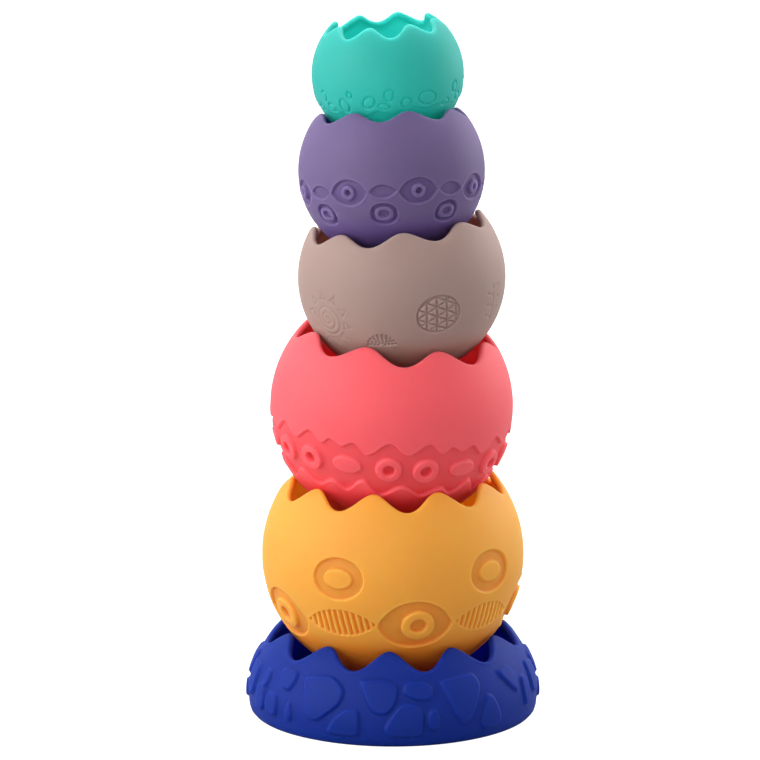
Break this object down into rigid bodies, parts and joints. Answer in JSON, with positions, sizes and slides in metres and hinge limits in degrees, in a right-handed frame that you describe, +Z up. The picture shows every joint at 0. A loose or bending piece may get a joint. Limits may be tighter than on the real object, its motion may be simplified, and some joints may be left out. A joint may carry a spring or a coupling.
{
  "type": "stacking cup tower",
  "caption": "Tower of soft round open-topped cups with wavy rims, each balanced on the rim of the larger cup below, over a low domed base cup.",
  "frame": {"origin": "centre of the base cup's resting face", "axes": "+Z up the tower, +X to the viewer's right, -Y towards the viewer"},
  "size_m": [0.12, 0.12, 0.2873],
  "materials": {
    "navy_silicone": "satin",
    "orange_silicone": "satin",
    "coral_silicone": "satin",
    "taupe_silicone": "satin",
    "purple_silicone": "satin",
    "teal_silicone": "satin"
  },
  "bodies": {
    "base": {"base_cup": "navy_silicone"},
    "orange": {"orange_cup": "orange_silicone"},
    "coral": {"coral_cup": "coral_silicone"},
    "taupe": {"taupe_cup": "taupe_silicone"},
    "purple": {"purple_cup": "purple_silicone"},
    "teal": {"teal_cup": "teal_silicone"}
  },
  "joints": [
    {"name": "orange_lift", "type": "slide", "parent": "base", "child": "orange", "axis": [0, 0, 1], "range_m": [0, 0.028]},
    {"name": "coral_lift", "type": "slide", "parent": "orange", "child": "coral", "axis": [0, 0, 1], "range_m": [0, 0.026]},
    {"name": "taupe_lift", "type": "slide", "parent": "coral", "child": "taupe", "axis": [0, 0, 1], "range_m": [0, 0.026]},
    {"name": "purple_lift", "type": "slide", "parent": "taupe", "child": "purple", "axis": [0, 0, 1], "range_m": [0, 0.024]},
    {"name": "teal_lift", "type": "slide", "parent": "purple", "child": "teal", "axis": [0, 0, 1], "range_m": [0, 0.024]}
  ]
}
